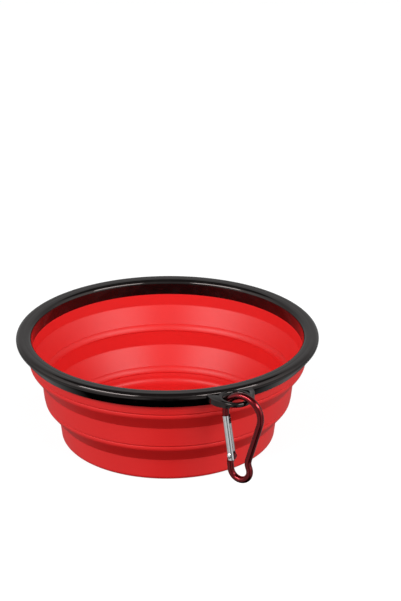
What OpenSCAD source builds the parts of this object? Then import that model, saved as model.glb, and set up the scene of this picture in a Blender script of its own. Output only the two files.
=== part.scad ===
// Collapsible silicone bowl with a hard rim, a hanging eye and a spring clip.
// The bowl stands on the XY plane, its axis is Z, and the eye points along -Y.
// The solids show the bowl open, with the clip hanging free and its gate shut.

/* [Rim] */
// Outside diameter of the rim
rim_d = 130; // [120:1:160]
// Width of the rim's top
rim_w = 6.7; // [6:0.1:7.5]
// Height of the rim
rim_h = 6.9; // [6:0.1:8]
// How far the foot of the outer face lies inside the rim's outer edge
rim_taper = 3.4; // [2:0.1:3.6]
// Rounding of the outer top edge
rim_edge_r = 1.4; // [0.8:0.1:2]
// Rounding of the inner top edge
rim_inner_edge_r = 1.2; // [0.5:0.1:2]
// Fall of the top from its crease to its inner edge
top_fall = 0.5; // [0.1:0.1:0.8]
// Width of the crease along the middle of the top
crease_w = 1; // [0.6:0.1:1.4]
// Depth of that crease
crease_depth = 0.1; // [0.05:0.05:0.3]

/* [Hanging eye] */
// Diameter of the hole in the eye
eye_hole_d = 9.8; // [9:0.1:12]
// Width of the ring around the hole
eye_wall = 2.1; // [1.8:0.1:2.6]
// Thickness of the ring around the hole
eye_t = 2; // [1.8:0.1:2.4]
// Rounding of the ring's edges
eye_edge_r = 0.8; // [0.3:0.1:0.8]
// Distance from the rim to the hole
eye_gap = 0.3; // [0.3:0.1:3]
// Depth of the eye's middle plane below the top of the rim
eye_drop = 1.6; // [1.4:0.1:2.4]
// Radius of the round tab between the ring and the rim
eye_tab_r = 9.7; // [8.5:0.1:10.5]
// Distance of the tab's centre outside the rim
eye_tab_out = 1; // [0:0.1:1.5]
// Thickness of the tab
eye_tab_t = 2.4; // [1.6:0.1:2.8]
// Step from the ring down to the tab
tab_step = 0.2; // [0.1:0.1:0.5]

/* [Silicone body] */
// Outside diameter at the foot of the lower band
base_d = 93.2; // [80:0.2:98]
// Thickness of the floor
floor_t = 2.5; // [1.5:0.1:4]
// Rounding of the outer corner at the foot
foot_r = 2; // [0.5:0.1:3]
// Rounding of the inner corner between wall and floor
floor_corner_r = 3; // [1:0.1:4]
// Wall thickness of the three stiff bands
band_t = 2; // [1.8:0.1:2.4]
// Outward lean of the bands, in degrees
band_lean = 5.5; // [0:0.5:8]
// Rounding of a band's outer foot
lip_r = 0.8; // [0.3:0.05:0.8]
// Radius of the round bead along the inner top of the lower and middle bands
lip_bead_r = 1.3; // [1:0.1:1.6]
// How far that bead stands out from the inner face
lip_bead_out = 0.5; // [0.2:0.1:0.8]
// Height of the lower band, floor included
lower_band_h = 10; // [8:0.2:14]
// Height of the middle band
middle_band_h = 9; // [7:0.1:14]
// How far the middle band stands out from halfway between the other two
middle_band_out = 0.45; // [0:0.05:1]
// Height of the upper band below the rim
upper_band_h = 4.7; // [3:0.1:10]
// Height of the lower folding wall
lower_fold_h = 8.9; // [7:0.1:12]
// Height of the upper folding wall
upper_fold_h = 8.3; // [7:0.1:12]
// Height of the upright shoulder that a fold has under the next band
shoulder_h = 2.2; // [1.5:0.1:3]
// Bend radius from the shoulder into the folding wall
shoulder_r = 1; // [0.5:0.1:2]
// Height of the shoulder on the inside
shoulder_inner_h = 0.3; // [0.2:0.1:1]
// Rounding of the shoulder's top edge
shoulder_edge_r = 0.6; // [0.5:0.05:0.8]
// Step in from the foot of a band to the shoulder under it
shoulder_in = 0.3; // [0.2:0.05:0.5]

/* [Silicone anchor] */
// Thickness of the tongue that stands in the rim
anchor_w = 1; // [0.6:0.1:1.2]
// Height of the tongue and its head together
anchor_h = 2.6; // [2:0.1:3.2]
// Width of the head that locks the tongue
anchor_head_w = 1.5; // [1.3:0.1:1.6]
// Height of that head
anchor_head_h = 1; // [0.5:0.1:1.4]
// Distance of the tongue from the outer face of the band
anchor_inset = 0.1; // [0.05:0.05:0.3]
// Clearance around the tongue
anchor_gap = 0.05; // [0.02:0.01:0.1]

/* [Clip frame] */
// Overall length of the clip
clip_l = 40; // [36:0.5:60]
// Diameter of the bent rod
rod_d = 2.8; // [2.2:0.1:3.2]
// Bend radius of the wide top bow, at the middle of the rod
top_bow_r = 8.2; // [7.6:0.1:10]
// Bend radius of the narrow bottom bow, at the middle of the rod
bottom_bow_r = 4.5; // [3.8:0.1:5]
// Sideways offset of the bottom bow towards the gate
bow_offset = 1.1; // [0:0.1:2]
// How far the line of the spine passes inside the outer side of the bottom bow
neck_in = 2.3; // [1.5:0.1:2.8]
// Bend radius of the neck between spine and bottom bow
neck_r = 5; // [3:0.5:8]
// Place of the hanging clip along the ring, in degrees from the eye's own direction
clip_at = 18; // [0:1:40]
// Turn of the clip's plane away from the eye's own direction, in degrees
clip_turn = 33; // [0:1:45]
// How far the middle of the top bow lies inside the ring
hang_in = 0.9; // [0:0.1:1.2]
// Gap between the top bow and the eye that it hangs on
hang_gap = 0.4; // [0.3:0.05:0.5]

// Length of the straight nose under the top bow
nose_l = 0.8; // [0.4:0.1:2]

/* [Clip gate] */
// Outside diameter of the gate barrel
gate_d = 3.4; // [3.1:0.1:4]
// Gap between the gate and the frame at either end
gate_gap = 0.35; // [0.2:0.05:0.6]
// Height of the frame's round end above the bottom bow
leg_l = 3; // [2:0.1:6]
// Distance from the rivet to the round end of the barrel
gate_end_r = 2.6; // [2.1:0.1:3]
// How far the rivet sits inside the line of the frame's round end
gate_in = 0.9; // [0:0.1:1.2]
// Thickness of the flat tang that the gate turns on
tang_t = 1.4; // [1:0.1:1.6]
// Radius of the tang's round end
tang_r = 1.4; // [1.2:0.05:1.6]
// How far the tang's heel stands out into the loop
heel_out = 0.8; // [0.5:0.1:0.8]
// Drop of the cam flat on the tang's end below its full radius
cam_flat = 0.2; // [0.1:0.05:0.3]
// Diameter of the rivet's shank
rivet_d = 1.2; // [0.8:0.1:1.4]
// Diameter of the rivet's heads
rivet_head_d = 2.2; // [1.8:0.1:2.6]
// Height of the rivet's domed heads
rivet_head_h = 0.45; // [0.3:0.05:0.7]
// Running clearance of the gate on the rivet
rivet_gap = 0.05; // [0.03:0.01:0.1]
// Clearance on each side of the tang and the tongue in their slots
slot_gap = 0.12; // [0.08:0.02:0.2]
// Thickness of the tongue on the nose
tongue_t = 1.2; // [0.8:0.1:1.4]
// Width of the tongue on the nose
tongue_w = 2.2; // [2:0.1:2.6]
// Length of the tongue inside the gate
tongue_l = 3; // [2.6:0.1:4]
// Diameter of the cross pin that the tongue catches
latch_pin_d = 0.9; // [0.6:0.1:1]
// Thickness of the barb under the cross pin
barb_t = 0.6; // [0.4:0.05:0.8]
// Clearance of the cross pin in the tongue's notch
notch_gap = 0.12; // [0.08:0.02:0.2]

/* [Gate spring] */
// Outside diameter of the spring
spring_d = 1.9; // [1.4:0.1:2]
// Wire diameter of the spring
spring_wire_d = 0.35; // [0.25:0.05:0.4]
// Turns of the spring
spring_turns = 7; // [4:1:8]
// Rise of the spring in one turn
spring_pitch = 1.15; // [0.95:0.05:1.3]
// Clearance around the spring and at its ends
spring_gap = 0.15; // [0.1:0.05:0.2]

/* [Hidden] */
$fn = 96;
// Points on each rounded corner of a silicone profile
corner_steps = 5;
// Overrun of a cut past the face that it opens
overrun = 1;
// How far a straight stretch of the rod runs on inside its neighbours
rod_seat = 0.3;
// How much slimmer the straight stretches are than the bends
rod_step = 0.02;
// Rounding of the upper band's inner edge under the rim
rim_lip_r = 0.3;
// How far the tang's heel lies below the rivet
heel_drop = 0.4;

silicone_red = [0.86, 0.10, 0.09];
rim_black = [0.08, 0.08, 0.08];
anodised_red = [0.42, 0.02, 0.05];
bright_metal = [0.80, 0.80, 0.82];

// Heights of the tiers, from the table up
lower_fold_z = lower_band_h;
middle_band_z = lower_fold_z + lower_fold_h;
upper_fold_z = middle_band_z + middle_band_h;
upper_band_z = upper_fold_z + upper_fold_h;
rim_z = upper_band_z + upper_band_h;

// Radii of the rim and of the outer faces of the bands
rim_r = rim_d / 2;
rim_inner_r = rim_r - rim_w;
rim_mid_r = rim_r - rim_w / 2;
rim_top_z = rim_z + rim_h;
function lean_out(h) = h * tan(band_lean);
upper_band_top_r = rim_inner_r + band_t;
upper_band_foot_r = upper_band_top_r - lean_out(upper_band_h);
lower_band_foot_r = base_d / 2;
lower_band_top_r = lower_band_foot_r + lean_out(lower_band_h);
middle_band_r = (lower_band_top_r + upper_band_foot_r) / 2 + middle_band_out;
middle_band_foot_r = middle_band_r - lean_out(middle_band_h) / 2;
middle_band_top_r = middle_band_r + lean_out(middle_band_h) / 2;
anchor_r = upper_band_top_r - anchor_inset - anchor_w / 2;
hinge_in = shoulder_in + shoulder_edge_r;

// Eye: its hole, its ring, and the tab whose straight sides run on into the ring
eye_hole_r = eye_hole_d / 2;
eye_ring_r = eye_hole_r + eye_wall;
eye_y = -(rim_r + eye_gap + eye_hole_r);
eye_z = rim_top_z - eye_drop;
tab_y = -(rim_r + eye_tab_out);
tab_top_z = eye_z + eye_t / 2 - tab_step;
tab_side = acos((eye_tab_r - eye_ring_r) / (tab_y - eye_y));
tab_side_dir = [sin(tab_side), -cos(tab_side)];
tab_corner = [0, tab_y] + (eye_tab_r - tab_step) * tab_side_dir;
ring_corner = [0, eye_y] + (eye_ring_r - tab_step) * tab_side_dir;

// Clip: drawn in its own plane, with the middle of the eye's ring section as origin
rod_r = rod_d / 2;
bar_r = eye_hole_r + eye_wall / 2;
top_bow = [-hang_in, eye_t / 2 + hang_gap + rod_r - top_bow_r];
bottom_bow = top_bow + [-bow_offset, -(clip_l - top_bow_r - bottom_bow_r - rod_d)];
bow_span = norm(bottom_bow - top_bow);
bow_angle = atan2(bottom_bow.y - top_bow.y, bottom_bow.x - top_bow.x);

// The round end stands on the straight line that touches both bows on one side
gate_side = bow_angle - acos((top_bow_r - bottom_bow_r) / bow_span);
outwards = [cos(gate_side), sin(gate_side)];
leg_dir = [sin(gate_side), -cos(gate_side)];
leg_foot = bottom_bow + bottom_bow_r * outwards;
nose_foot = top_bow + top_bow_r * outwards;
nose_end = nose_foot - nose_l * leg_dir;
rivet = leg_foot + (leg_l + gate_gap + gate_end_r) * leg_dir - gate_in * outwards;

// The gate runs from the rivet to the nose
nose_at = norm(nose_end - rivet);
gate_dir = (nose_end - rivet) / nose_at;
gate_angle = atan2(gate_dir.y, gate_dir.x) - 90;
barrel_l = nose_at - gate_gap;

// The spine leaves the top bow, and the neck turns it into the bottom bow
spine_lean = -(bow_angle + acos((top_bow_r - bottom_bow_r + neck_in) / bow_span));
spine_out = [cos(spine_lean), -sin(spine_lean)];
spine_dir = [-sin(spine_lean), -cos(spine_lean)];
spine_top = top_bow + top_bow_r * spine_out;
neck_reach = top_bow + (top_bow_r + neck_r) * spine_out - bottom_bow;
neck_along = neck_reach * spine_dir;
neck_touch = pow(bottom_bow_r + neck_r, 2) - neck_reach * neck_reach;
spine_l = -neck_along - sqrt(neck_along * neck_along + neck_touch);
spine_foot = spine_top + spine_l * spine_dir;
neck = spine_foot + neck_r * spine_out;
neck_angle = atan2(bottom_bow.y - neck.y, bottom_bow.x - neck.x);
neck_foot = neck + neck_r * [cos(neck_angle), sin(neck_angle)];
neck_foot_dir = [-sin(neck_angle), cos(neck_angle)];
// Angle left open between the neck and the bottom bow, bridged by a short straight stretch
bend_trim = atan2(rod_step, neck_r);

// Inside the gate: heights are measured from the rivet along the barrel
spring_seat = tang_r - cam_flat + spring_gap;
spring_l = spring_turns * spring_pitch;
bore_top = spring_seat + spring_l + spring_wire_d + spring_gap;
bore_d = spring_d + 2 * spring_gap;
tongue_end = nose_at - tongue_l - gate_gap;
latch_at = tongue_end + barb_t + notch_gap + latch_pin_d / 2;
notch_r = latch_pin_d / 2 + notch_gap;

// Points of an arc about a centre, from one angle to another
function arc(centre, r, from, to) =
  [for (i = [0:corner_steps]) centre + r * [cos(from + (to - from) * i / corner_steps),
                                            sin(from + (to - from) * i / corner_steps)]];

// Points of the round inner top of a band, which may stand out from the inner face as a bead
function inner_lip(top_r, top, r, out) =
  arc([top_r - band_t + r - out, top - r], r, 90, 180 + acos(1 - out / r));

// A stiff band of silicone, leaning outwards, round at its outer foot and its inner top
module band(foot_radius, z, h, top_lip_r, top_lip_out) {
  top_r = foot_radius + lean_out(h);
  rotate_extrude()
    polygon(concat(
      arc([foot_radius - lip_r, z + lip_r], lip_r, -90, 0),
      [[top_r, z + h]],
      inner_lip(top_r, z + h, top_lip_r, top_lip_out),
      [[foot_radius - band_t, z]]
    ));
}

// A folding wall from the top of one band to the foot of the next, with its upright shoulder
module fold(lower_r, upper_r, z, h) {
  top = z + h;
  foot = [lower_r, z];
  centre = [upper_r - shoulder_in - shoulder_r, top - shoulder_h];
  reach = foot - centre;
  rotate_extrude()
    polygon(concat(
      [foot],
      arc(centre, shoulder_r, atan2(reach.y, reach.x) + acos(shoulder_r / norm(reach)), 0),
      arc([upper_r - hinge_in, top - shoulder_edge_r], shoulder_edge_r, 0, 90),
      [[upper_r - band_t, top], [upper_r - band_t, top - shoulder_inner_h], [lower_r - band_t + hinge_in, z]]
    ));
}

// Half section of the tongue and its head, grown by a clearance and run on below the rim
module anchor_section(gap, run_on) {
  translate([anchor_r - anchor_w / 2 - gap, rim_z - run_on])
    square([anchor_w + 2 * gap, anchor_h + run_on]);
  translate([anchor_r - anchor_head_w / 2 - gap, rim_z + anchor_h - anchor_head_h - gap])
    square([anchor_head_w + 2 * gap, anchor_head_h + 2 * gap]);
}

// Section of the rim: an outer face that leans out, two round edges, and a top with a crease
module rim_section() {
  foot = [rim_r - rim_taper, rim_z];
  edge = [rim_r - rim_edge_r, rim_top_z - rim_edge_r];
  inner_edge = [rim_inner_r + rim_inner_edge_r, rim_top_z - top_fall - rim_inner_edge_r];
  crease_r = (edge.x + inner_edge.x) / 2;
  reach = foot - edge;
  polygon(concat(
    [[rim_inner_r, rim_z], foot],
    arc(edge, rim_edge_r, atan2(reach.y, reach.x) + acos(rim_edge_r / norm(reach)), 90),
    [
      [crease_r + crease_w / 2, rim_top_z],
      [crease_r, rim_top_z - crease_depth],
      [crease_r - crease_w / 2, rim_top_z]
    ],
    arc(inner_edge, rim_inner_edge_r, 90, 180)
  ));
}

// Outline of the round tab, with straight sides towards the ring
module tab_outline() {
  translate([0, tab_y])
    circle(eye_tab_r);
  polygon([tab_corner, ring_corner, [-ring_corner.x, ring_corner.y], [-tab_corner.x, tab_corner.y]]);
}

// The ring around the hole, with its edges rounded
module eye_ring() {
  edge = eye_edge_r;
  rotate_extrude()
    translate([eye_hole_r, -eye_t / 2]) {
      translate([edge, 0])
        square([eye_wall - 2 * edge, eye_t]);
      translate([0, edge])
        square([eye_wall, eye_t - 2 * edge]);
      for (x = [edge, eye_wall - edge], y = [edge, eye_t - edge])
        translate([x, y])
          circle(edge);
    }
}

// Hard rim, grooved for the silicone, with the eye on its tab
module rim() {
  color(rim_black) {
    rotate_extrude()
      difference() {
        rim_section();
        anchor_section(anchor_gap, anchor_gap);
      }
    difference() {
      translate([0, 0, tab_top_z - eye_tab_t])
        linear_extrude(eye_tab_t)
          tab_outline();
      translate([0, 0, rim_z - overrun])
        cylinder(r = rim_mid_r, h = rim_h + 2 * overrun);
      translate([0, eye_y, eye_z - 2 * eye_t])
        cylinder(r = bar_r, h = 4 * eye_t);
    }
    translate([0, eye_y, eye_z])
      eye_ring();
  }
}

// Upper band, whose tongue stands in the groove of the rim
module upper_band() {
  color(silicone_red) {
    band(upper_band_foot_r, upper_band_z, upper_band_h, rim_lip_r, 0);
    rotate_extrude()
      anchor_section(0, rim_lip_r);
  }
}

module upper_fold() {
  color(silicone_red)
    fold(middle_band_top_r, upper_band_foot_r, upper_fold_z, upper_fold_h);
}

module middle_band() {
  color(silicone_red)
    band(middle_band_foot_r, middle_band_z, middle_band_h, lip_bead_r, lip_bead_out);
}

module lower_fold() {
  color(silicone_red)
    fold(lower_band_top_r, middle_band_foot_r, lower_fold_z, lower_fold_h);
}

// Lower band and floor in one, flat underneath
module base_cup() {
  inner_foot_r = lower_band_foot_r + lean_out(floor_t) - band_t;
  color(silicone_red)
    rotate_extrude()
      polygon(concat(
        [[0, 0]],
        arc([lower_band_foot_r - foot_r, foot_r], foot_r, -90, 0),
        [[lower_band_top_r, lower_band_h]],
        inner_lip(lower_band_top_r, lower_band_h, lip_bead_r, lip_bead_out),
        arc([inner_foot_r - floor_corner_r, floor_t + floor_corner_r], floor_corner_r, 0, -90),
        [[0, floor_t]]
      ));
}

// Stands the plane of the clip upright in the eye
module in_clip_plane() {
  translate([bar_r * sin(clip_at), eye_y - bar_r * cos(clip_at), eye_z])
    rotate([0, 0, clip_turn - 90])
      rotate([90, 0, 0])
        children();
}

// Moves to the rivet, with Y along the barrel and Z along the rivet
module at_rivet() {
  translate(rivet)
    rotate([0, 0, gate_angle])
      children();
}

// A straight stretch of the rod, which runs on at its start and may run on at its end
module rod_line(start, dir, l, run_on) {
  translate(start - rod_seat * dir)
    rotate([0, 0, atan2(dir.y, dir.x)])
      rotate([0, 90, 0])
        cylinder(d = rod_d - rod_step, h = rod_seat + l + run_on);
}

// A bend of the rod about a centre, from one angle to another
module rod_bend(centre, r, from, to) {
  translate(centre)
    rotate([0, 0, from])
      rotate_extrude(angle = to - from)
        translate([r, 0])
          circle(d = rod_d);
}

// A plate that is centred on the plane of the clip
module centred_plate(t) {
  translate([0, 0, -t / 2])
    linear_extrude(t)
      children();
}

// Flat tang at the foot of the gate, with a heel on its inner side and a cam flat on its round end
module tang() {
  tang_foot = -(gate_end_r + gate_gap + rod_seat);
  centred_plate(tang_t)
    intersection() {
      union() {
        circle(tang_r);
        translate([heel_out, -heel_drop])
          circle(tang_r);
        polygon([
          [tang_r, 0],
          [-tang_r, 0],
          [-tang_r - gate_in, tang_foot],
          [tang_r - gate_in, tang_foot]
        ]);
      }
      translate([-2 * tang_r, tang_foot])
        square([4 * tang_r, tang_r - cam_flat - tang_foot]);
    }
}

// Tongue on the nose, notched from the inside for the cross pin
module tongue() {
  centred_plate(tongue_t)
    difference() {
      translate([-tongue_w / 2, tongue_end])
        square([tongue_w, nose_at - tongue_end + rod_seat]);
      translate([0, latch_at])
        circle(notch_r);
      translate([0, latch_at - notch_r])
        square([tongue_w, 2 * notch_r]);
    }
}

// Frame of the clip, one bent rod from nose to tang
module clip_frame() {
  color(anodised_red)
    in_clip_plane() {
      rod_bend(top_bow, top_bow_r, -spine_lean, gate_side + 360);
      rod_line(nose_foot, -leg_dir, nose_l, 0);
      rod_line(spine_top, spine_dir, spine_l, rod_seat);
      rod_bend(neck, neck_r, 180 - spine_lean, neck_angle + 360 - bend_trim);
      rod_line(neck_foot, neck_foot_dir, 0, rod_seat);
      rod_bend(bottom_bow, bottom_bow_r, gate_side, neck_angle + 180);
      rod_line(leg_foot, leg_dir, leg_l, 0);
      at_rivet() {
        difference() {
          tang();
          translate([0, 0, -tang_t])
            cylinder(d = rivet_d, h = 2 * tang_t);
        }
        tongue();
      }
    }
}

// Domed rivet that the gate turns on
module gate_rivet() {
  shank_l = gate_d + 2 * rivet_gap;
  head_r = rivet_head_d / 2;
  dome_r = (head_r * head_r + rivet_head_h * rivet_head_h) / (2 * rivet_head_h);
  color(bright_metal)
    in_clip_plane()
      at_rivet() {
        translate([0, 0, -shank_l / 2])
          cylinder(d = rivet_d, h = shank_l);
        for (side = [0, 180])
          rotate([side, 0, 0])
            translate([0, 0, shank_l / 2])
              rotate_extrude()
                intersection() {
                  square([head_r, rivet_head_h]);
                  translate([0, rivet_head_h - dome_r])
                    circle(dome_r);
                }
      }
}

// Gate barrel, slotted for tang and tongue and bored for the spring
module gate_barrel() {
  tang_slot = tang_t + 2 * slot_gap;
  tongue_slot = tongue_t + 2 * slot_gap;
  tongue_slot_l = tongue_l + gate_gap;
  color(bright_metal)
    in_clip_plane()
      at_rivet()
        difference() {
          union() {
            rotate([-90, 0, 0])
              cylinder(d = gate_d, h = barrel_l);
            intersection() {
              rotate([90, 0, 0])
                cylinder(d = gate_d, h = gate_end_r);
              sphere(gate_end_r);
            }
          }
          rotate([-90, 0, 0])
            translate([0, 0, -gate_end_r])
              cylinder(d = bore_d, h = gate_end_r + bore_top);
          translate([-gate_d, -gate_end_r - overrun, -tang_slot / 2])
            cube([2 * gate_d, gate_end_r + overrun + tang_r + gate_gap, tang_slot]);
          translate([-gate_d, barrel_l - tongue_slot_l, -tongue_slot / 2])
            cube([2 * gate_d, tongue_slot_l + overrun, tongue_slot]);
          translate([0, 0, -gate_d])
            cylinder(d = rivet_d + 2 * rivet_gap, h = 2 * gate_d);
          translate([0, latch_at, -gate_d])
            cylinder(d = latch_pin_d, h = 2 * gate_d);
        }
}

// Cross pin that the tongue catches when the gate is shut
module latch_pin() {
  color(bright_metal)
    in_clip_plane()
      at_rivet()
        translate([0, latch_at, -gate_d / 2])
          cylinder(d = latch_pin_d, h = gate_d);
}

// Spring wound as one round wire, with its rings worked out along the helix
spring_rings = 8;
spring_sides = 6;
spring_mean_r = (spring_d - spring_wire_d) / 2;
function spring_centre(k) =
  let (turn = 360 * k / spring_rings)
  [spring_mean_r * cos(turn), spring_mean_r * sin(turn), spring_pitch * k / spring_rings];
function spring_ring(k) =
  let (
    turn = 360 * k / spring_rings,
    outwards = [cos(turn), sin(turn), 0],
    rise = spring_pitch / (2 * PI * spring_mean_r),
    along = [-sin(turn), cos(turn), rise] / norm([1, rise]),
    across = cross(along, outwards)
  )
  [for (j = [0:spring_sides - 1])
    let (a = 360 * j / spring_sides)
    spring_centre(k) + spring_wire_d / 2 * (cos(a) * outwards + sin(a) * across)];
spring_last = spring_turns * spring_rings;

// Least gap between points of the wire that lie half a turn or more apart
spring_self_gap = min([
  for (k = [0:spring_last - spring_rings], m = [k + spring_rings / 2:min(k + 2 * spring_rings, spring_last)])
    norm(spring_centre(m) - spring_centre(k))
]) - spring_wire_d;
echo(spring_self_gap = spring_self_gap);

module gate_spring() {
  n = spring_sides;
  tube_points = [for (k = [0:spring_last]) each spring_ring(k)];
  start_cap = [for (j = [1:n - 2]) [0, j, j + 1]];
  end_cap = [for (j = [1:n - 2]) [spring_last * n, spring_last * n + j + 1, spring_last * n + j]];
  sides = [
    for (k = [0:spring_last - 1], j = [0:n - 1])
      let (a = k * n + j, b = k * n + (j + 1) % n)
      each [[a, a + n, b + n], [a, b + n, b]]
  ];
  color(bright_metal)
    in_clip_plane()
      at_rivet()
        rotate([-90, 0, 0])
          translate([0, 0, spring_seat + spring_wire_d / 2])
            polyhedron(points = tube_points, faces = concat(start_cap, sides, end_cap));
}

rim();
upper_band();
upper_fold();
middle_band();
lower_fold();
base_cup();
clip_frame();
gate_rivet();
gate_barrel();
latch_pin();
gate_spring();
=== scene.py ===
# %% [markdown]
# # A folding silicone bowl with a clip on its rim
#
# The bowl is a soft red moulding that folds flat like a concertina, held open by a hard black rim.
# A small red clip with a bright gate hangs from an eye on the rim. The solids come from the packed
# frame, which carries every size and joint. Here each piece gets the skin, the lips and the finish
# that make it look like the real thing, in metres and in the frame's own place.

# %% Load the frame
from math import acos, atan2, cos, degrees, hypot, pi, radians, sin, tan

import bmesh
import bpy
from mathutils import Matrix, Vector


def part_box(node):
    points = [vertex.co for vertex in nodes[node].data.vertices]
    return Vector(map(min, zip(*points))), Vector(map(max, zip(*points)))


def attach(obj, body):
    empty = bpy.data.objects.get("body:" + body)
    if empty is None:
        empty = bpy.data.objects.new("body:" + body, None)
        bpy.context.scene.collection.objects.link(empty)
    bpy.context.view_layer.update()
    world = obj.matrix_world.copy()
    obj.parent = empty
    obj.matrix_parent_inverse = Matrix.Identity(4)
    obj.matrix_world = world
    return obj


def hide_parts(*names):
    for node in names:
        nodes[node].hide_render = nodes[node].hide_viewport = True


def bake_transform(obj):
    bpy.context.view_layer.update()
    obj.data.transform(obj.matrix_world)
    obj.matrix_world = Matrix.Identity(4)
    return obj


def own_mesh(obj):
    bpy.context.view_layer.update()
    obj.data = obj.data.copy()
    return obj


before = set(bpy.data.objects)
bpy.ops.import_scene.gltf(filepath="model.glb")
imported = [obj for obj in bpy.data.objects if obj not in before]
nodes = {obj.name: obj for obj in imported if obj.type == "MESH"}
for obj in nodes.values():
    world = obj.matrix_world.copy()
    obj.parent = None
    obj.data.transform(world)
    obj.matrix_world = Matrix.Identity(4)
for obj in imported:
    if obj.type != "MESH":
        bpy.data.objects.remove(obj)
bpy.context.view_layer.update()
MM = 0.001
print("nodes in the frame:", ", ".join(sorted(nodes)))

# %% [markdown]
# ## The camera
#
# The picture was taken with a long lens from a little above the table, from the left of the eye.
# The camera stands on a sphere about the middle of the bowl. It is then turned a little off that
# middle, as a photographer frames a subject, instead of shifting the lens: a turn keeps the
# perspective true.

# %% Place the camera
CAMERA_AZIMUTH = radians(-22.3)
CAMERA_ELEVATION = radians(24.83)
CAMERA_DISTANCE = 0.8
CAMERA_AIM = Vector((0, 0, 0.026))
CAMERA_TURNS = (("Y", -1.0325), ("X", 2.362), ("Z", -0.413))
CAMERA_LENS = 110.2

towards_camera = Vector((
    sin(CAMERA_AZIMUTH) * cos(CAMERA_ELEVATION),
    -cos(CAMERA_AZIMUTH) * cos(CAMERA_ELEVATION),
    sin(CAMERA_ELEVATION),
))
camera_right = Vector((cos(CAMERA_AZIMUTH), sin(CAMERA_AZIMUTH), 0))
camera_up = towards_camera.cross(camera_right)
facing = Matrix((camera_right, camera_up, towards_camera)).transposed()
for axis, turn in CAMERA_TURNS:
    facing = facing @ Matrix.Rotation(radians(turn), 3, axis)
standing = Matrix.Translation(CAMERA_AIM + CAMERA_DISTANCE * towards_camera)

camera = bpy.data.objects.new("camera", bpy.data.cameras.new("camera"))
camera.data.lens = CAMERA_LENS
camera.matrix_world = standing @ facing.to_4x4()
bpy.context.collection.objects.link(camera)
bpy.context.scene.camera = camera
print("camera at", [round(v, 3) for v in camera.location])

# %% [markdown]
# ## Shader sums as Python sums
#
# A material is a graph of nodes, and long graphs are hard to read. This small class wraps one
# socket, so that `0.3 + 0.1 * grain` or `1 - mask` adds the Math nodes by itself. Every other node
# comes from `node`, which sets the node's own settings first and then its sockets, as values or as
# links.

# %% The wire class
class Wire:
    """One output of a shader node, which can stand in a Python sum."""

    def __init__(self, socket):
        self.socket = socket
        self.tree = socket.id_data

    @staticmethod
    def node(tree, kind, settings=None, sockets=None, output=0):
        """Adds a node: its settings first, then the values or links of its sockets."""
        made = tree.nodes.new(kind)
        for name, value in (settings or {}).items():
            if name == "stops":
                Wire.set_stops(made.color_ramp, value)
            else:
                setattr(made, name, value)
        for name, value in (sockets or {}).items():
            if isinstance(value, Wire):
                tree.links.new(value.socket, made.inputs[name])
            else:
                made.inputs[name].default_value = value
        return Wire(made.outputs[output])

    @staticmethod
    def set_stops(ramp, stops):
        """Gives a colour ramp its stops, as pairs of a place and a grey value."""
        while len(ramp.elements) < len(stops):
            ramp.elements.new(1.0)
        for element, (place, grey) in zip(ramp.elements, stops):
            element.position = place
            element.color = (grey, grey, grey, 1)

    def math(self, operation, first, second):
        """A Math node on two numbers or wires."""
        settings, sockets = {"operation": operation}, {0: first, 1: second}
        return Wire.node(self.tree, "ShaderNodeMath", settings, sockets)

    def __add__(self, other):
        return self.math("ADD", self, other)

    def __radd__(self, other):
        return self.math("ADD", other, self)

    def __sub__(self, other):
        return self.math("SUBTRACT", self, other)

    def __rsub__(self, other):
        return self.math("SUBTRACT", other, self)

    def __mul__(self, other):
        return self.math("MULTIPLY", self, other)

    def __rmul__(self, other):
        return self.math("MULTIPLY", other, self)


print("wire class ready")

# %% Nodes that the finishes share
# A Mix node keeps the sockets of all its data types, so those for colours go by number.
MIX_FACTOR, MIX_FIRST, MIX_SECOND, MIX_RESULT = 0, 6, 7, 2


def new_finish(name, constants):
    """A new material with the constants set on its shader, and its tree and shader."""
    material = bpy.data.materials.new(name)
    material.use_nodes = True
    shader = material.node_tree.nodes["Principled BSDF"]
    for socket, value in constants.items():
        shader.inputs[socket].default_value = value
    return material, material.node_tree, shader


def feed(shader, socket, wire):
    """Links a wire into one of the shader's sockets."""
    wire.tree.links.new(wire.socket, shader.inputs[socket])


def place_on(tree):
    """The place on the object, which stays put when a piece moves."""
    return Wire.node(tree, "ShaderNodeTexCoord", output="Object")


def noise(place, scale, detail):
    """Cloudy noise from 0 to 1, with about `scale` clouds to the metre."""
    sockets = {"Vector": place, "Scale": scale, "Detail": detail}
    return Wire.node(place.tree, "ShaderNodeTexNoise", None, sockets, "Fac")


def ramp(value, *stops):
    """A value bent through a ramp of grey stops."""
    return Wire.node(value.tree, "ShaderNodeValToRGB", {"stops": stops}, {"Fac": value})


def mixed(factor, first, second):
    """A colour between two colours."""
    sockets = {MIX_FACTOR: factor, MIX_FIRST: first, MIX_SECOND: second}
    return Wire.node(factor.tree, "ShaderNodeMix", {"data_type": "RGBA"}, sockets, MIX_RESULT)


def bump(height, distance, strength):
    """A bump as high as `distance`, in metres, for the shader's Normal socket."""
    sockets = {"Height": height, "Distance": distance, "Strength": strength}
    return Wire.node(height.tree, "ShaderNodeBump", None, sockets)


print("shared nodes ready")

# %% [markdown]
# ## Light and world
#
# The object stands on a white table in a pale studio. The walls of the studio are bright up to
# about 45 degrees and its ceiling is dim, so the round edges of the rim turn from grey to black.
# The wall behind the camera has a dark gap between two softboxes, which give the pairs of soft
# highlights on the lips of the bowl and on the rim. The pale ground lights the outer bands from the
# front, with a dark strip towards the camera that draws a line along the bright gate. It is dimmer
# at the back and dark straight below, so faces that look down stay dark. One world gradient does
# this by direction, where a room of panels would take many objects. The standard view keeps the red
# as strong as it is, where the filmic one would wash it out.

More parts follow.
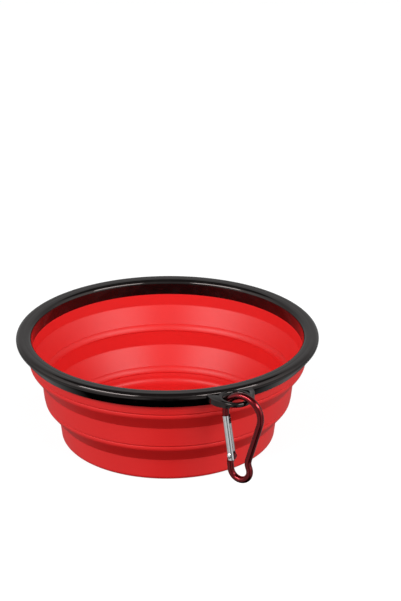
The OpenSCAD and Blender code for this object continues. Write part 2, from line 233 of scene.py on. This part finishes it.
# %% Softboxes
SOFTBOX_W = 0.7
SOFTBOX_H = 0.25
SOFTBOX_AIM = Vector((0, 0, 0.03))
SOFTBOXES = (
    ("left_softbox", Vector((-0.74, -0.26, 0.65)), 5.7),
    ("right_softbox", Vector((0.35, -0.70, 0.65)), 5.3),
)


def softbox(name, place, watts):
    """A wide area light that faces the bowl."""
    lamp = bpy.data.lights.new(name, "AREA")
    lamp.shape = "RECTANGLE"
    lamp.size = SOFTBOX_W
    lamp.size_y = SOFTBOX_H
    lamp.energy = watts
    box = bpy.data.objects.new(name, lamp)
    box.location = place
    box.rotation_euler = (SOFTBOX_AIM - place).to_track_quat("-Z", "Y").to_euler()
    bpy.context.collection.objects.link(box)


for name, place, watts in SOFTBOXES:
    softbox(name, place, watts)

# %% Studio walls and ground
# Each pair is a place on the way and a grey value: from straight down to straight up for sky and
# ground, from back to front for the two front rows, and from the middle out to both sides for the
# side row.
SKY_STOPS = ((0.48, 0.0), (0.52, 1.35), (0.84, 1.35), (0.87, 0.18))
GROUND_STOPS = ((0.08, 0.0), (0.20, 1.0), (0.48, 1.0), (0.52, 0.0))
FRONT_STOPS = ((0.25, 0.33), (0.6, 1.0), (0.82, 1.0), (0.92, 0.3))
SIDE_STOPS = ((0.01, 0.06), (0.08, 0.66), (0.25, 0.66), (0.75, 0.45))
GROUND_FRONT_STOPS = ((0.15, 0.4), (0.5, 1.0))
STUDIO_FRONT = (-0.38, -0.925, 0)
STUDIO_RIGHT = (0.925, -0.38, 0)

world = bpy.data.worlds.new("studio")
world.use_nodes = True
sky = world.node_tree
towards = Wire.node(sky, "ShaderNodeTexCoord", output="Generated")
height = Wire.node(sky, "ShaderNodeSeparateXYZ", None, {"Vector": towards}, "Z")


def along(direction):
    """How far the look into the world goes along a direction, from -1 to 1."""
    settings, sockets = {"operation": "DOT_PRODUCT"}, {0: towards, 1: direction}
    return Wire.node(sky, "ShaderNodeVectorMath", settings, sockets, "Value")


up = 0.5 + 0.5 * height
side = along(STUDIO_RIGHT)
front = 0.5 + 0.5 * along(STUDIO_FRONT)
air = ramp(up, *SKY_STOPS) * ramp(front, *FRONT_STOPS)
ground = ramp(up, *GROUND_STOPS) * ramp(side * side, *SIDE_STOPS)
ground = ground * ramp(front, *GROUND_FRONT_STOPS)
feed(sky.nodes["Background"], "Color", air + ground)
bpy.context.scene.world = world
bpy.context.scene.view_settings.view_transform = "Standard"
print("world has", len(sky.nodes), "nodes")

# %% [markdown]
# ## The finishes
#
# Moulded silicone is a soft satin: strong in colour, with wide dull highlights. Its colour drifts a
# little, and fine lint takes the shine off in specks. The rim is a hard glossy plastic, which shows
# only what it reflects. The clip is drawn rod, dyed dark red through a clear oxide layer, so it
# reflects like metal in red. The gate is bare bright metal, turned on a lathe. All the marks come
# from noise in the object's own place, which needs no unwrapped surface.

# %% Silicone
def silicone_finish():
    """Soft satin red, with faint drift in colour and shine."""
    constants = {"IOR": 1.42, "Subsurface Weight": 0.06, "Subsurface Scale": 0.002}
    material, tree, shader = new_finish("red_silicone", constants)
    place = place_on(tree)
    drift = noise(place, scale=45, detail=3)
    grain = noise(place, scale=2600, detail=1)
    lint = ramp(noise(place, scale=900, detail=2), (0.62, 0.0), (0.74, 1.0))
    deep, pale = (0.67, 0.012, 0.012, 1), (0.72, 0.015, 0.014, 1)
    feed(shader, "Base Color", mixed(drift, deep, pale))
    feed(shader, "Roughness", 0.40 + 0.05 * drift + 0.10 * lint)
    feed(shader, "Normal", bump(grain, distance=0.00002, strength=0.5))
    return material


red_silicone = silicone_finish()
print("made", red_silicone.name)

# %% Rim plastic
def rim_finish():
    """Hard glossy black, with fine scuffs that dull it in patches."""
    constants = {"IOR": 1.5, "Specular Tint": (1, 0.88, 0.85, 1)}
    material, tree, shader = new_finish("black_rim_plastic", constants)
    place = place_on(tree)
    scuff = ramp(noise(place, scale=260, detail=6), (0.5, 0.0), (0.72, 1.0))
    ripple = noise(place, scale=120, detail=1)
    black, scuffed = (0.003, 0.002, 0.002, 1), (0.006, 0.005, 0.005, 1)
    feed(shader, "Base Color", mixed(scuff, black, scuffed))
    feed(shader, "Roughness", 0.06 + 0.08 * scuff)
    feed(shader, "Normal", bump(ripple, distance=0.00003, strength=0.3))
    return material


black_plastic = rim_finish()
print("made", black_plastic.name)

# %% Clip metals
def metal_finish(name, colour, worn, roughness, coat=0.0):
    """Polished metal with faint drawing marks, a few duller rubs and maybe a clear coat."""
    constants = {"Metallic": 1.0, "Coat Weight": coat, "Coat Roughness": 0.06}
    material, tree, shader = new_finish(name, constants)
    place = place_on(tree)
    rub = ramp(noise(place, scale=500, detail=4), (0.55, 0.0), (0.75, 1.0))
    marks = noise(place, scale=1800, detail=2)
    feed(shader, "Base Color", mixed(rub, colour, worn))
    feed(shader, "Roughness", roughness + 0.08 * rub + 0.05 * marks)
    feed(shader, "Normal", bump(marks, distance=0.00002, strength=0.4))
    return material


dyed_rod = metal_finish(
    "dyed_rod", (0.17, 0.003, 0.007, 1), (0.21, 0.006, 0.011, 1), roughness=0.22, coat=0.4
)
bright_gate = metal_finish(
    "bright_gate", (0.78, 0.78, 0.80, 1), (0.66, 0.66, 0.68, 1), roughness=0.14
)
bright_steel = metal_finish(
    "bright_steel", (0.86, 0.86, 0.87, 1), (0.70, 0.70, 0.71, 1), roughness=0.14
)
print("made", dyed_rod.name, bright_gate.name, bright_steel.name)

# %% [markdown]
# ## Turned outlines
#
# Every tier of the bowl is round, so each piece is one half-section spun about the axis. The
# section is drawn in millimetres as corners, arcs and straight runs. Straight runs are cut into
# short steps, which a folding wall needs if it is to bend.

# %% Outline helpers
RUN_STEP = 0.45


def arc(centre, radius, start, end, steps=8):
    """Points on an arc about a centre, between two angles in degrees."""
    turn = [radians(start + (end - start) * i / steps) for i in range(steps + 1)]
    return [(centre[0] + radius * cos(a), centre[1] + radius * sin(a)) for a in turn]


def leaving_angle(centre, radius, point):
    """Angle in degrees at which a straight run from a point touches a circle."""
    reach = (point[0] - centre[0], point[1] - centre[1])
    return degrees(atan2(reach[1], reach[0]) + acos(radius / hypot(*reach)))


def with_steps(corners):
    """The closed outline with its long straight runs cut into short steps."""
    points = []
    for here, there in zip(corners, corners[1:] + corners[:1]):
        run = (there[0] - here[0], there[1] - here[1])
        length = hypot(*run)
        count = max(1, round(length / RUN_STEP)) if length > 2 * RUN_STEP else 1
        for i in range(count):
            points.append((here[0] + i / count * run[0], here[1] + i / count * run[1]))
    return points


print("straight runs are cut into steps of about", RUN_STEP, "mm")

# %% Mesh helpers
SPIN_STEPS = 288
WELD_DISTANCE = 1e-7
HARD_EDGE = radians(50)


def closed(name, points, faces):
    """A mesh that is welded where points meet, with its normals outwards."""
    mesh = bpy.data.meshes.new(name)
    mesh.from_pydata(points, [], faces)
    shape = bmesh.new()
    shape.from_mesh(mesh)
    bmesh.ops.remove_doubles(shape, verts=shape.verts, dist=WELD_DISTANCE)
    bmesh.ops.recalc_face_normals(shape, faces=shape.faces)
    shape.to_mesh(mesh)
    shape.free()
    return mesh


def turned(name, corners):
    """A closed mesh: an outline of radius and height, spun about the Z axis."""
    outline = with_steps(corners)
    count = len(outline)
    points, faces = [], []
    for step in range(SPIN_STEPS):
        a = 2 * pi * step / SPIN_STEPS
        points += [(r * MM * cos(a), r * MM * sin(a), z * MM) for r, z in outline]
        here, there = step * count, (step + 1) % SPIN_STEPS * count
        for i in range(count):
            j = (i + 1) % count
            faces.append((here + i, there + i, there + j, here + j))
    return closed(name, points, faces)


def piece(name, mesh, material):
    """A smooth-shaded object of a mesh, sharp only at its hard edges."""
    mesh.shade_smooth()
    mesh.set_sharp_from_angle(angle=HARD_EDGE)
    mesh.materials.append(material)
    made = bpy.data.objects.new(name, mesh)
    bpy.context.collection.objects.link(made)
    print(name, "has", len(mesh.polygons), "faces")
    return made


print("outlines turn in", SPIN_STEPS, "steps")

# %% [markdown]
# ## The silicone tiers
#
# The bowl is one moulding with three stiff bands and two thin walls that roll over. On the inside
# each band ends in a sloping lip with a small round edge, which catches the light as a thin pale
# line. On the outside each wall turns round a shoulder into the foot of the next band. The pieces
# meet in the creases, so the joins can't be seen.

# %% Sizes of the tiers
# Lengths are in millimetres, and the turns of the lip are in degrees.
BAND_T = 2.0
BAND_LEAN = radians(5.5)
BAND_FOOT_R = 0.8
BASE_FOOT_R = 2.0
FLOOR_T = 2.5
FLOOR_CORNER_R = 3.0
SHOULDER_H = 0.5
SHOULDER_INNER_H = 0.3
SHOULDER_R = 2.8
SHOULDER_EDGE_R = 0.3
SHOULDER_IN = 0.3
HINGE_IN = 1.2
LIP_FACE_R = 5.0
LIP_FACE_TURN = (128, 162)
LIP_FACE_STEPS = 12
LIP_EDGE_R = 0.5
LIP_EDGE_END = 240
RIM_W = 6.7


def height_of(node):
    """Lowest and highest point of a node, in millimetres."""
    low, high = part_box(node)
    return low.z / MM, high.z / MM


def reach_of(node):
    """Greatest radius of a node along X, in millimetres."""
    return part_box(node)[1].x / MM


def lean_out(height):
    """How far a band leans out over a height."""
    return height * tan(BAND_LEAN)


lower_top = height_of("base_cup")[1]
middle_foot, middle_top = height_of("middle_band")
upper_foot = height_of("upper_fold")[1]
rim_foot, rim_top = height_of("rim")
lower_top_r = reach_of("base_cup")
middle_top_r = reach_of("middle_band")
middle_foot_r = middle_top_r - lean_out(middle_top - middle_foot)
rim_r = reach_of("rim")
rim_inner_r = rim_r - RIM_W
upper_top_r = rim_inner_r + BAND_T
upper_foot_r = upper_top_r - lean_out(rim_foot - upper_foot)
tier_heights = (lower_top, middle_foot, middle_top, upper_foot, rim_foot)
print("tier heights in mm:", [round(z, 2) for z in tier_heights])

# %% Outlines of base, bands and folding walls
def inner_lip(top_r, top):
    """The sloping, slightly round inner top of a band, with a small round edge that stands out."""
    start, end = LIP_FACE_TURN
    centre = (
        top_r - BAND_T + HINGE_IN - LIP_FACE_R * cos(radians(start)),
        top - LIP_FACE_R * sin(radians(start)),
    )
    face = arc(centre, LIP_FACE_R, start, end, LIP_FACE_STEPS)
    edge = (
        face[-1][0] - LIP_EDGE_R * cos(radians(end)),
        face[-1][1] - LIP_EDGE_R * sin(radians(end)),
    )
    return face + arc(edge, LIP_EDGE_R, end, LIP_EDGE_END)


def base_outline():
    """Floor and lower band."""
    foot_r = lower_top_r - lean_out(lower_top)
    corner_r = foot_r + lean_out(FLOOR_T) - BAND_T - FLOOR_CORNER_R
    return (
        [(0, 0)]
        + arc((foot_r - BASE_FOOT_R, BASE_FOOT_R), BASE_FOOT_R, -90, 0)
        + [(lower_top_r, lower_top)]
        + inner_lip(lower_top_r, lower_top)
        + arc((corner_r, FLOOR_T + FLOOR_CORNER_R), FLOOR_CORNER_R, 0, -90)
        + [(0, FLOOR_T)]
    )


def band_outline(foot_r, top_r, foot, top, lip):
    """A stiff band, round at its outer foot, with a lip along its inner top."""
    return (
        arc((foot_r - BAND_FOOT_R, foot + BAND_FOOT_R), BAND_FOOT_R, -90, 0)
        + [(top_r, top)]
        + lip
        + [(foot_r - BAND_T, foot)]
    )


def fold_outline(lower_r, upper_r, foot, top):
    """A folding wall whose shoulder turns under the band above, and is flush with it inside."""
    shoulder_r = upper_r - SHOULDER_IN
    centre = (shoulder_r - SHOULDER_R, top - SHOULDER_H)
    edge = (shoulder_r - SHOULDER_EDGE_R, top - SHOULDER_EDGE_R)
    leaves = leaving_angle(centre, SHOULDER_R, (lower_r, foot))
    return (
        [(lower_r, foot)]
        + arc(centre, SHOULDER_R, leaves, 0)
        + arc(edge, SHOULDER_EDGE_R, 0, 90)
        + [(upper_r - BAND_T, top), (upper_r - BAND_T, top - SHOULDER_INNER_H)]
        + [(lower_r - BAND_T + HINGE_IN, foot)]
    )


print("lip from", LIP_FACE_TURN, "degrees, shoulder of", SHOULDER_R, "mm")

# %% Make the tiers
def tier(name, outline):
    """A turned piece of red silicone."""
    return piece(name, turned(name, outline), red_silicone)


middle_lip = inner_lip(middle_top_r, middle_top)
upper_lip = [(upper_top_r - BAND_T, rim_foot)]
base = tier("base_and_lower_band", base_outline())
lower_wall = tier(
    "lower_folding_wall",
    fold_outline(lower_top_r, middle_foot_r, lower_top, middle_foot),
)
middle = tier(
    "middle_band_ring",
    band_outline(middle_foot_r, middle_top_r, middle_foot, middle_top, middle_lip),
)
upper_wall = tier(
    "upper_folding_wall",
    fold_outline(middle_top_r, upper_foot_r, middle_top, upper_foot),
)
upper = tier(
    "upper_band_ring",
    band_outline(upper_foot_r, upper_top_r, upper_foot, rim_foot, upper_lip),
)

# %% [markdown]
# ## The tiers and their bodies
#
# A stiff band moves with its body as one. A folding wall hangs between two bodies and turns over
# when the tiers slide together; here it keeps its place and follows neither body. Each piece also
# says which solid of the frame it stands for, so that only one of the two is shown.

# %% Join the bands to the bodies
def stands_for(made, node):
    """Hides the node that a piece replaces, and says so."""
    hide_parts(node)
    print(made.name, "stands for", node)


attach(base, "base")
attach(middle, "middle")
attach(upper, "rim")
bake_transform(lower_wall)
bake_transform(upper_wall)
for made, node in (
    (base, "base_cup"),
    (lower_wall, "lower_fold"),
    (middle, "middle_band"),
    (upper_wall, "upper_fold"),
    (upper, "upper_band"),
):
    stands_for(made, node)

# %% [markdown]
# ## The rim and its eye
#
# The rim is one hard glossy moulding: a ring whose outer face leans out, with round edges and a
# shallow crease along its top, and an eye on a round tab. Black gloss shows nothing but
# reflections, so its edges need many fine steps for a lamp to draw one clean streak along them. The
# ring is turned, and the tab and the eye are joined to it with boolean modifiers, which leave one
# closed skin.

# %% Sizes of the rim
# Lengths are in millimetres.
RIM_TAPER = 3.4
RIM_EDGE_R = 1.8
RIM_INNER_EDGE_R = 2.0
TOP_FALL = 0.15
CREASE_W = 0.8
CREASE_DEPTH = 0.1
EDGE_STEPS = 16
EYE_HOLE_R = 4.9
EYE_WALL = 2.1
EYE_T = 2.0
EYE_EDGE_R = 0.8
EYE_GAP = 0.3
EYE_DROP = 1.6
TAB_R = 9.7
TAB_OUT = 1.0
TAB_T = 2.4
TAB_STEP = 0.2
TAB_STEPS = 64
CUT_OVER = 5.0

eye_y = -(rim_r + EYE_GAP + EYE_HOLE_R)
eye_z = rim_top - EYE_DROP
ring_r = EYE_HOLE_R + EYE_WALL
print("eye at", round(eye_y, 2), round(eye_z, 2), "mm")

# %% Rim and eye outlines
def rim_outline():
    """Half-section of the rim."""
    foot = (rim_r - RIM_TAPER, rim_foot)
    edge = (rim_r - RIM_EDGE_R, rim_top - RIM_EDGE_R)
    inner_edge = (rim_inner_r + RIM_INNER_EDGE_R, rim_top - TOP_FALL - RIM_INNER_EDGE_R)
    crease_r = (edge[0] + inner_edge[0]) / 2
    leaves = leaving_angle(edge, RIM_EDGE_R, foot)
    return (
        [(rim_inner_r, rim_foot), foot]
        + arc(edge, RIM_EDGE_R, leaves, 90, EDGE_STEPS)
        + [
            (crease_r + CREASE_W / 2, rim_top),
            (crease_r, rim_top - CREASE_DEPTH),
            (crease_r - CREASE_W / 2, rim_top),
        ]
        + arc(inner_edge, RIM_INNER_EDGE_R, 90, 180, EDGE_STEPS)
    )


def ring_outline():
    """Section of the ring around the eye's hole, with round edges."""
    low, high = EYE_HOLE_R + EYE_EDGE_R, ring_r - EYE_EDGE_R
    top = EYE_T / 2 - EYE_EDGE_R
    return (
        arc((high, -top), EYE_EDGE_R, -90, 0)
        + arc((high, top), EYE_EDGE_R, 0, 90)
        + arc((low, top), EYE_EDGE_R, 90, 180)
        + arc((low, -top), EYE_EDGE_R, 180, 270)
    )


print("rim section has", len(rim_outline()), "corners")

# %% Tab and cutters
def tab_mesh():
    """The round tab between rim and ring, with straight sides that run on into the ring."""
    tab_y = -(rim_r + TAB_OUT)
    lean = acos((TAB_R - ring_r) / (tab_y - eye_y)) - pi / 2
    corner_r = ring_r - TAB_STEP
    corner_x, corner_y = corner_r * cos(lean), eye_y + corner_r * sin(lean)
    outline = arc((0, tab_y), TAB_R, degrees(lean), 180 - degrees(lean), TAB_STEPS)
    outline += [(-corner_x, corner_y), (corner_x, corner_y)]
    top = eye_z + EYE_T / 2 - TAB_STEP
    count = len(outline)
    points = [(x * MM, y * MM, z * MM) for z in (top - TAB_T, top) for x, y in outline]
    faces = [tuple(range(count)), tuple(range(count, 2 * count))]
    for i in range(count):
        j = (i + 1) % count
        faces.append((i, j, count + j, count + i))
    return closed("tab", points, faces)


def pillar(radius, middle_y):
    """A cutting cylinder that stands through the rim."""
    low, high = rim_foot - CUT_OVER, rim_top + CUT_OVER
    mesh = turned("cutter", [(0, low), (radius, low), (radius, high), (0, high)])
    mesh.transform(Matrix.Translation((0, middle_y * MM, 0)))
    return mesh


def combined(blank, *steps):
    """One mesh of a blank that is cut by or joined to other meshes, one after another."""
    body = bpy.data.objects.new("blank", blank)
    tools = []
    for operation, mesh in steps:
        tools.append(bpy.data.objects.new("tool", mesh))
        change = body.modifiers.new("shape", "BOOLEAN")
        change.operation = operation
        change.object = tools[-1]
    for made in (body, *tools):
        bpy.context.collection.objects.link(made)
    worked = body.evaluated_get(bpy.context.evaluated_depsgraph_get())
    result = bpy.data.meshes.new_from_object(worked)
    for made in (body, *tools):
        bpy.data.objects.remove(made)
    return result


tab = combined(
    tab_mesh(),
    ("DIFFERENCE", pillar(rim_r - RIM_W / 2, 0)),
    ("DIFFERENCE", pillar(EYE_HOLE_R + EYE_WALL / 2, eye_y)),
)
print("tab has", len(tab.polygons), "faces")

# %% Make the rim
ring_mesh = turned("ring", ring_outline())
ring_mesh.transform(Matrix.Translation((0, eye_y * MM, eye_z * MM)))
rim_mesh = combined(turned("rim_ring", rim_outline()), ("UNION", tab), ("UNION", ring_mesh))
black_rim = piece("rim_with_eye", rim_mesh, black_plastic)
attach(black_rim, "rim")
stands_for(black_rim, "rim")

# %% [markdown]
# ## The clip
#
# The clip is a bent rod with a sprung gate on a rivet. Its solids have their true shape in the
# frame, so they stay as they are and only get their finish. The latch pin inside the gate is
# finished too, because the gate opens.

# %% Finish the clip
def dress(node, material):
    """Gives a node of the frame its finish."""
    mesh = nodes[node].data
    mesh.materials.clear()
    mesh.materials.append(material)
    print(node, "is finished in", material.name)


dress("clip_frame", dyed_rod)
dress("gate_barrel", bright_gate)
dress("gate_rivet", bright_steel)
dress("latch_pin", bright_steel)

# %% [markdown]
# ## The spring in the gate
#
# A coil of steel wire inside the gate presses on the end of the rod and shuts the gate. The frame
# has it at its shut length, as a plain coil of few sides. This one is wound finer in the same
# place and moves with the gate. When the gate opens, the round end of the rod pushes into a real
# spring and squashes it along the gate towards its far end; this one keeps its shut length.

# %% Shape of the spring
# Lengths are in millimetres. The seat is measured from the rivet along the gate.
SPRING_SEAT = 1.35
SPRING_R = 0.775
SPRING_WIRE_R = 0.175
SPRING_TURNS = 7
SPRING_PITCH = 1.15
TURN_STEPS = 24
WIRE_SIDES = 12


def coil_mesh(foot, line):
    """A round wire wound about a line from its foot, with flat ends."""
    across = line.orthogonal().normalized()
    around = line.cross(across)
    points = []
    steps = SPRING_TURNS * TURN_STEPS
    for step in range(steps + 1):
        turn = 2 * pi * step / TURN_STEPS
        outwards = cos(turn) * across + sin(turn) * around
        heading = cos(turn) * around - sin(turn) * across
        heading += SPRING_PITCH / (2 * pi * SPRING_R) * line
        upwards = outwards.cross(heading).normalized()
        centre = foot + MM * (SPRING_R * outwards + SPRING_PITCH * step / TURN_STEPS * line)
        for x, y in arc((0, 0), SPRING_WIRE_R * MM, 0, 360, WIRE_SIDES)[:-1]:
            points.append(centre + x * outwards + y * upwards)
    rings = [range(i * WIRE_SIDES, (i + 1) * WIRE_SIDES) for i in range(steps + 1)]
    faces = [tuple(rings[0]), tuple(rings[-1])]
    for low, high in zip(rings, rings[1:]):
        faces += [(low[i - 1], low[i], high[i], high[i - 1]) for i in range(WIRE_SIDES)]
    return closed("gate_coil", points, faces)


print("spring of", SPRING_TURNS, "turns")

# %% Wind the spring
def middle_of(node):
    """Middle of a node's box."""
    low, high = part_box(node)
    return (Vector(low) + Vector(high)) / 2


rivet = middle_of("gate_rivet")
gate_line = (middle_of("latch_pin") - rivet).normalized()
coil_foot = rivet + (SPRING_SEAT + SPRING_WIRE_R) * MM * gate_line
coil = piece("gate_coil", coil_mesh(coil_foot, gate_line), bright_steel)
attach(coil, "gate")
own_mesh(coil)
stands_for(coil, "gate_spring")

# %% [markdown]
# ## The table
#
# A plain white table top, far larger than the picture, so that no edge of it shows. It glows a
# little by itself, which keeps its shadow pale, and it is hidden from reflected light, so that the
# dark undersides of the folds aren't lit up from below.

# %% Table top
TABLE_SIZE = 6.0
TABLE_GLOW = 0.85
WHITE = (1, 1, 1, 1)


def table_finish():
    """Plain pale table, with the faintest mottling."""
    constants = {"Roughness": 0.8, "Emission Color": WHITE, "Emission Strength": TABLE_GLOW}
    material, tree, shader = new_finish("white_table", constants)
    mottle = noise(place_on(tree), scale=30, detail=2)
    feed(shader, "Base Color", mixed(mottle, (0.20, 0.20, 0.20, 1), (0.22, 0.22, 0.22, 1)))
    return material


half = TABLE_SIZE / 2
corners = [(-half, -half, 0), (half, -half, 0), (half, half, 0), (-half, half, 0)]
table_mesh = bpy.data.meshes.new("table_top")
table_mesh.from_pydata(corners, [], [(0, 1, 2, 3)])
table_mesh.materials.append(table_finish())
table_top = bpy.data.objects.new("table_top", table_mesh)
table_top.visible_diffuse = False
table_top.visible_glossy = False
bpy.context.collection.objects.link(table_top)
print("table top", TABLE_SIZE, "m wide")
